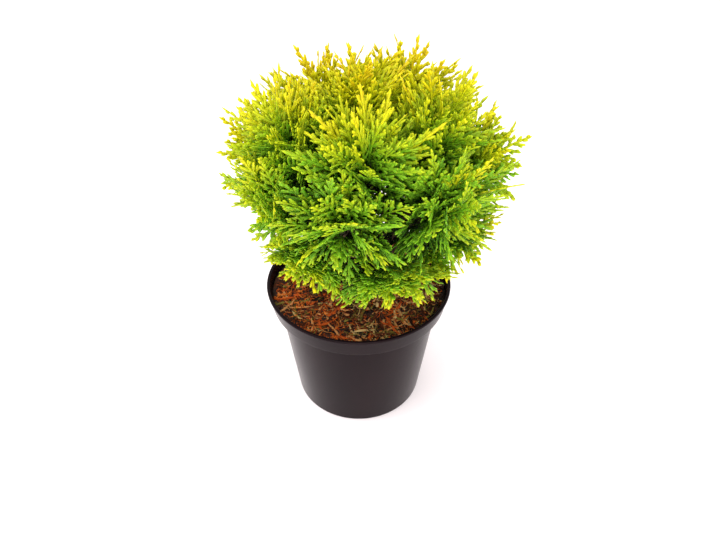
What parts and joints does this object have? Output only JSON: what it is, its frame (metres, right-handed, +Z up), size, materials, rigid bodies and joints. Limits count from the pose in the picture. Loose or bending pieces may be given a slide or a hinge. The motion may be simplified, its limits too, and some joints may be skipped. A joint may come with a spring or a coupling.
{
  "type": "potted mirjam arborvitae",
  "caption": "Dwarf golden globe conifer with flat fan-like sprays on short upswept boughs, standing in a round black nursery pot of bark and peat substrate.",
  "frame": {"origin": "middle of the pot's flat underside, where it stands", "axes": "+Z up along the pot's axis, -Y towards the plant's front, +X to the right as seen from the front"},
  "size_m": [0.2445, 0.2328, 0.3345],
  "materials": {
    "pot_plastic": "glossy black injection-moulded nursery pot",
    "substrate": "loose brown peat, bark chips and fibres",
    "bark": "thin fibrous red-brown bark",
    "leaf_gold": "scale leaves with golden yellow tips",
    "leaf_lime": "lime green scale leaves",
    "leaf_green": "fresh green scale leaves"
  },
  "bodies": {
    "root": {"pot": "pot_plastic", "potting_soil": "substrate", "trunk": "bark", "bough_leader_1": "bark", "foliage_leader_1": "leaf_gold", "bough_upper_1": "bark", "foliage_upper_1": "leaf_gold", "bough_upper_2": "bark", "foliage_upper_2": "leaf_gold", "bough_upper_3": "bark", "foliage_upper_3": "leaf_gold", "bough_upper_4": "bark", "foliage_upper_4": "leaf_gold", "bough_upper_5": "bark", "foliage_upper_5": "leaf_gold", "bough_middle_1": "bark", "foliage_middle_1": "leaf_lime", "bough_middle_2": "bark", "foliage_middle_2": "leaf_lime", "bough_middle_3": "bark", "foliage_middle_3": "leaf_lime", "bough_middle_4": "bark", "foliage_middle_4": "leaf_lime", "bough_middle_5": "bark", "foliage_middle_5": "leaf_lime", "bough_middle_6": "bark", "foliage_middle_6": "leaf_lime", "bough_middle_7": "bark", "foliage_middle_7": "leaf_lime", "bough_lower_1": "bark", "foliage_lower_1": "leaf_green", "bough_lower_2": "bark", "foliage_lower_2": "leaf_green", "bough_lower_3": "bark", "foliage_lower_3": "leaf_green", "bough_lower_4": "bark", "foliage_lower_4": "leaf_green", "bough_lower_5": "bark", "foliage_lower_5": "leaf_green", "bough_lower_6": "bark", "foliage_lower_6": "leaf_green"}
  },
  "joints": []
}
